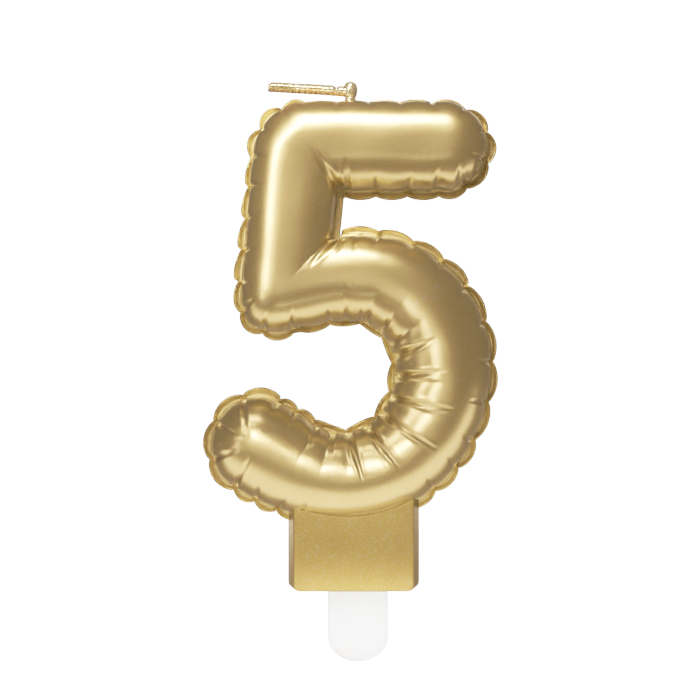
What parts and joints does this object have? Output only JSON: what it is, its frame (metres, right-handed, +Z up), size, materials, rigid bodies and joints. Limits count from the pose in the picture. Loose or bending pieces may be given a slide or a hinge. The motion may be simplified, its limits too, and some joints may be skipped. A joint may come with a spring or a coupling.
{
  "type": "number birthday candle",
  "caption": "Number five birthday candle shaped like an inflated foil balloon with a scalloped seam, on a small block with a flat pick for the cake and a bent wick.",
  "frame": {"origin": "middle of the block's underside, where the candle meets the top of the cake", "axes": "+Z up along the candle, +X to the reader's right, the front of the digit faces -Y"},
  "size_m": [0.0523, 0.016, 0.1051],
  "materials": {
    "gold_wax": "paraffin wax under a satin champagne gold lacquer with a fine metallic grain",
    "wick_coat": "wax and gold lacquer, glossy and a little lumpy",
    "wick_braid": "braided cotton soaked in wax and lacquer",
    "white_plastic": "smooth injection-moulded white plastic"
  },
  "bodies": {
    "candle": {"number_figure": "gold_wax", "seam_flange": "gold_wax", "base_block": "gold_wax", "wick_anchor_braid": "wick_braid", "wick_stub_coat": "wick_coat"},
    "wick": {"wick_knee_bead": "wick_coat", "wick_tail_braid": "wick_braid", "wick_tail_coat": "wick_coat"},
    "pick": {"cake_pick": "white_plastic"}
  },
  "joints": [
    {"name": "wick_lift", "type": "hinge", "parent": "candle", "child": "wick", "pos_m": [-0.0006, 0, 0.08995], "axis": [0, 1, 0], "range_deg": [0, 87]},
    {"name": "pick_pull", "type": "slide", "parent": "candle", "child": "pick", "axis": [0, 0, -1], "range_m": [0, 0.0105]}
  ]
}
